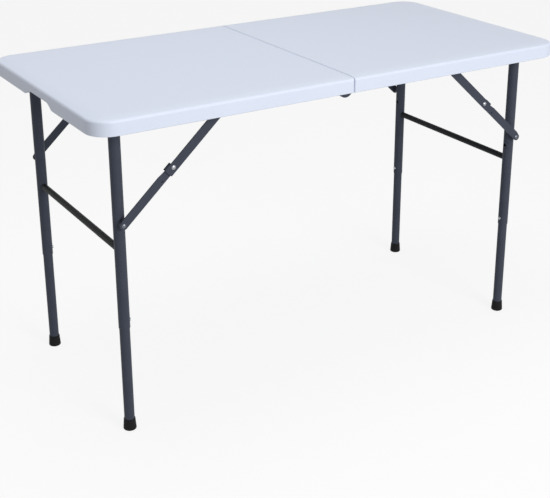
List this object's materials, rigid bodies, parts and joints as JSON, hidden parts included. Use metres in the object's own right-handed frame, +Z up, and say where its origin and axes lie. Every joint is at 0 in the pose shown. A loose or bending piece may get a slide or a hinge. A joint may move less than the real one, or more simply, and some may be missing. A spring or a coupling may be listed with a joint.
{
  "type": "folding table",
  "caption": "White fold-in-half table: moulded halves on hinged steel rails, with folding braced legs that slide shorter.",
  "frame": {"origin": "on the floor below the middle of the open table, at the bottom centre of its bounding box", "axes": "+X along the length, -Y towards the front, +Z up"},
  "size_m": [1.22, 0.6, 0.74],
  "materials": {
    "panel_white": "moulded polyethylene with a fine grain",
    "slate_coat": "satin slate grey powder coat",
    "dark_coat": "satin near-black powder coat",
    "zinc": "bright zinc plate",
    "rubber": "matt moulded rubber",
    "navy": "matt soft grip"
  },
  "bodies": {
    "left_half": {"left_panel": "panel_white", "left_front_rail": "slate_coat", "left_back_rail": "slate_coat", "left_rail_screws": "zinc", "left_pivot_saddles": "slate_coat", "left_saddle_screws": "zinc", "left_brace_pins": "zinc", "left_hinge_plates": "slate_coat", "hinge_pins": "zinc"},
    "right_half": {"right_panel": "panel_white", "right_front_rail": "slate_coat", "right_back_rail": "slate_coat", "right_rail_screws": "zinc", "right_pivot_saddles": "slate_coat", "right_saddle_screws": "zinc", "right_brace_pins": "zinc", "right_hinge_plates": "slate_coat"},
    "carrying_handle": {"handle_grip": "navy", "handle_strap": "navy"},
    "left_leg_frame": {"left_pivot_tube": "slate_coat", "left_front_upper_leg": "slate_coat", "left_back_upper_leg": "slate_coat", "left_cross_brace": "dark_coat", "left_tube_plugs": "rubber"},
    "left_front_telescope": {"left_front_lower_leg": "slate_coat", "left_front_foot_cap": "rubber"},
    "left_front_button": {"left_front_snap_clip": "zinc"},
    "left_front_brace_upper": {"left_front_upper_link": "slate_coat", "left_front_joint_rivet": "zinc"},
    "left_front_brace_lower": {"left_front_lower_link": "slate_coat", "left_front_leg_rivet": "zinc"},
    "left_back_telescope": {"left_back_lower_leg": "slate_coat", "left_back_foot_cap": "rubber"},
    "left_back_button": {"left_back_snap_clip": "zinc"},
    "left_back_brace_upper": {"left_back_upper_link": "slate_coat", "left_back_joint_rivet": "zinc"},
    "left_back_brace_lower": {"left_back_lower_link": "slate_coat", "left_back_leg_rivet": "zinc"},
    "right_leg_frame": {"right_pivot_tube": "slate_coat", "right_front_upper_leg": "slate_coat", "right_back_upper_leg": "slate_coat", "right_cross_brace": "dark_coat", "right_tube_plugs": "rubber"},
    "right_front_telescope": {"right_front_lower_leg": "slate_coat", "right_front_foot_cap": "rubber"},
    "right_front_button": {"right_front_snap_clip": "zinc"},
    "right_front_brace_upper": {"right_front_upper_link": "slate_coat", "right_front_joint_rivet": "zinc"},
    "right_front_brace_lower": {"right_front_lower_link": "slate_coat", "right_front_leg_rivet": "zinc"},
    "right_back_telescope": {"right_back_lower_leg": "slate_coat", "right_back_foot_cap": "rubber"},
    "right_back_button": {"right_back_snap_clip": "zinc"},
    "right_back_brace_upper": {"right_back_upper_link": "slate_coat", "right_back_joint_rivet": "zinc"},
    "right_back_brace_lower": {"right_back_lower_link": "slate_coat", "right_back_leg_rivet": "zinc"}
  },
  "joints": [
    {"name": "centre_hinge", "type": "hinge", "parent": "left_half", "child": "right_half", "pos_m": [0, 0, 0.704], "axis": [0, 1, 0], "range_deg": [0, 70]},
    {"name": "left_leg_fold", "type": "hinge", "parent": "left_half", "child": "left_leg_frame", "pos_m": [-0.537, 0, 0.7198], "axis": [0, -1, 0], "range_deg": [0, 90]},
    {"name": "left_front_slide", "type": "slide", "parent": "left_leg_frame", "child": "left_front_telescope", "axis": [0, 0, 1], "range_m": [0, 0.2015]},
    {"name": "left_front_brace_pivot", "type": "hinge", "parent": "left_half", "child": "left_front_brace_upper", "pos_m": [-0.291, -0.262, 0.7198], "axis": [0, -1, 0], "range_deg": [-42.62, 0]},
    {"name": "left_front_brace_knee", "type": "hinge", "parent": "left_front_brace_upper", "child": "left_front_brace_lower", "pos_m": [-0.42136, -0.262, 0.60003], "axis": [0, -1, 0], "range_deg": [0, 180.05]},
    {"name": "left_front_button_press", "type": "slide", "parent": "left_front_telescope", "child": "left_front_button", "axis": [-1, 0, 0], "range_m": [0, 0.0035], "stiffness_N_per_m": 2000, "deforming": ["left_front_snap_clip"]},
    {"name": "left_back_slide", "type": "slide", "parent": "left_leg_frame", "child": "left_back_telescope", "axis": [0, 0, 1], "range_m": [0, 0.2015]},
    {"name": "left_back_brace_pivot", "type": "hinge", "parent": "left_half", "child": "left_back_brace_upper", "pos_m": [-0.291, 0.262, 0.7198], "axis": [0, -1, 0], "range_deg": [-42.62, 0]},
    {"name": "left_back_brace_knee", "type": "hinge", "parent": "left_back_brace_upper", "child": "left_back_brace_lower", "pos_m": [-0.42136, 0.262, 0.60003], "axis": [0, -1, 0], "range_deg": [0, 180.05]},
    {"name": "left_back_button_press", "type": "slide", "parent": "left_back_telescope", "child": "left_back_button", "axis": [-1, 0, 0], "range_m": [0, 0.0035], "stiffness_N_per_m": 2000, "deforming": ["left_back_snap_clip"]},
    {"name": "right_leg_fold", "type": "hinge", "parent": "right_half", "child": "right_leg_frame", "pos_m": [0.537, 0, 0.7198], "axis": [0, 1, 0], "range_deg": [0, 90]},
    {"name": "right_front_slide", "type": "slide", "parent": "right_leg_frame", "child": "right_front_telescope", "axis": [0, 0, 1], "range_m": [0, 0.2015]},
    {"name": "right_front_brace_pivot", "type": "hinge", "parent": "right_half", "child": "right_front_brace_upper", "pos_m": [0.291, -0.262, 0.7198], "axis": [0, 1, 0], "range_deg": [-42.62, 0]},
    {"name": "right_front_brace_knee", "type": "hinge", "parent": "right_front_brace_upper", "child": "right_front_brace_lower", "pos_m": [0.42136, -0.262, 0.60003], "axis": [0, 1, 0], "range_deg": [0, 180.05]},
    {"name": "right_front_button_press", "type": "slide", "parent": "right_front_telescope", "child": "right_front_button", "axis": [1, 0, 0], "range_m": [0, 0.0035], "stiffness_N_per_m": 2000, "deforming": ["right_front_snap_clip"]},
    {"name": "right_back_slide", "type": "slide", "parent": "right_leg_frame", "child": "right_back_telescope", "axis": [0, 0, 1], "range_m": [0, 0.2015]},
    {"name": "right_back_brace_pivot", "type": "hinge", "parent": "right_half", "child": "right_back_brace_upper", "pos_m": [0.291, 0.262, 0.7198], "axis": [0, 1, 0], "range_deg": [-42.62, 0]},
    {"name": "right_back_brace_knee", "type": "hinge", "parent": "right_back_brace_upper", "child": "right_back_brace_lower", "pos_m": [0.42136, 0.262, 0.60003], "axis": [0, 1, 0], "range_deg": [0, 180.05]},
    {"name": "right_back_button_press", "type": "slide", "parent": "right_back_telescope", "child": "right_back_button", "axis": [1, 0, 0], "range_m": [0, 0.0035], "stiffness_N_per_m": 2000, "deforming": ["right_back_snap_clip"]},
    {"name": "handle_slide", "type": "slide", "parent": "left_half", "child": "carrying_handle", "axis": [0, 1, 0], "range_m": [0, 0.02]}
  ],
  "couplings": [
    {"joint": "left_front_slide", "follows": "left_leg_fold", "m_per_rad": 0.12764},
    {"joint": "left_front_brace_pivot", "follows": "left_leg_fold", "ratio": -0.47304},
    {"joint": "left_front_brace_knee", "follows": "left_leg_fold", "ratio": 2},
    {"joint": "left_back_slide", "follows": "left_leg_fold", "m_per_rad": 0.12764},
    {"joint": "left_back_brace_pivot", "follows": "left_leg_fold", "ratio": -0.47304},
    {"joint": "left_back_brace_knee", "follows": "left_leg_fold", "ratio": 2},
    {"joint": "right_front_slide", "follows": "right_leg_fold", "m_per_rad": 0.12764},
    {"joint": "right_front_brace_pivot", "follows": "right_leg_fold", "ratio": -0.47304},
    {"joint": "right_front_brace_knee", "follows": "right_leg_fold", "ratio": 2},
    {"joint": "right_back_slide", "follows": "right_leg_fold", "m_per_rad": 0.12764},
    {"joint": "right_back_brace_pivot", "follows": "right_leg_fold", "ratio": -0.47304},
    {"joint": "right_back_brace_knee", "follows": "right_leg_fold", "ratio": 2}
  ]
}
